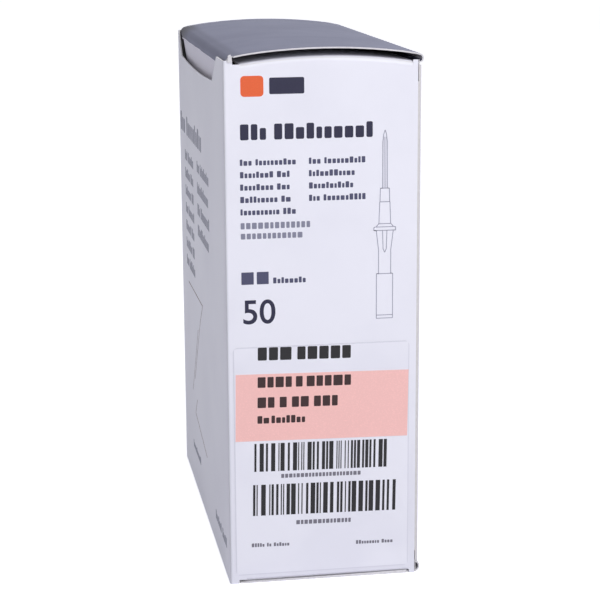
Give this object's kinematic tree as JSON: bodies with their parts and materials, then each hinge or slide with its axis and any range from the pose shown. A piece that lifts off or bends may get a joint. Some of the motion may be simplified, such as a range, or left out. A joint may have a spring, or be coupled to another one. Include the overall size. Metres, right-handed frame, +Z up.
{
  "type": "folding carton of iv cannulas",
  "caption": "Tall paperboard folding carton with hinged lid, tuck flaps, thumb notch and a front label, holding stacked sealed packs of intravenous cannulas.",
  "frame": {"origin": "middle of the footprint on the surface that the carton stands on", "axes": "+Z up the height, +X across the width from the notched panel to the hinged panel, +Y along the depth from the labelled front panel to the back"},
  "size_m": [0.0672, 0.1504, 0.1839],
  "materials": {
    "printed_board": "satin",
    "dark_board": "satin",
    "label_paper": "satin",
    "pack_film": "satin"
  },
  "bodies": {
    "carton": {"carton_body": "printed_board", "front_label": "label_paper", "unit_pack_01": "pack_film", "unit_pack_02": "pack_film", "unit_pack_03": "pack_film", "unit_pack_04": "pack_film", "unit_pack_05": "pack_film", "unit_pack_06": "pack_film", "unit_pack_07": "pack_film", "unit_pack_08": "pack_film", "unit_pack_09": "pack_film", "unit_pack_10": "pack_film", "unit_pack_11": "pack_film", "unit_pack_12": "pack_film", "unit_pack_13": "pack_film", "unit_pack_14": "pack_film", "unit_pack_15": "pack_film", "unit_pack_16": "pack_film", "unit_pack_17": "pack_film", "unit_pack_18": "pack_film", "unit_pack_19": "pack_film", "unit_pack_20": "pack_film", "unit_pack_21": "pack_film", "unit_pack_22": "pack_film", "unit_pack_23": "pack_film", "unit_pack_24": "pack_film", "unit_pack_25": "pack_film", "unit_pack_26": "pack_film", "unit_pack_27": "pack_film", "unit_pack_28": "pack_film", "unit_pack_29": "pack_film", "unit_pack_30": "pack_film", "unit_pack_31": "pack_film", "unit_pack_32": "pack_film", "unit_pack_33": "pack_film", "unit_pack_34": "pack_film", "unit_pack_35": "pack_film", "unit_pack_36": "pack_film", "unit_pack_37": "pack_film", "unit_pack_38": "pack_film", "unit_pack_39": "pack_film", "unit_pack_40": "pack_film", "unit_pack_41": "pack_film", "unit_pack_42": "pack_film", "unit_pack_43": "pack_film", "unit_pack_44": "pack_film", "unit_pack_45": "pack_film", "unit_pack_46": "pack_film", "unit_pack_47": "pack_film", "unit_pack_48": "pack_film", "unit_pack_49": "pack_film", "unit_pack_50": "pack_film"},
    "lid": {"lid": "dark_board"},
    "closure": {"bottom_closure": "dark_board"}
  },
  "joints": [
    {"name": "lid_hinge", "type": "hinge", "parent": "carton", "child": "lid", "pos_m": [0.03238, 0, 0.1796], "axis": [0, 1, 0], "range_deg": [0, 180]},
    {"name": "closure_hinge", "type": "hinge", "parent": "carton", "child": "closure", "pos_m": [0.03198, 0, 0.002], "axis": [0, -1, 0], "range_deg": [0, 180]}
  ]
}
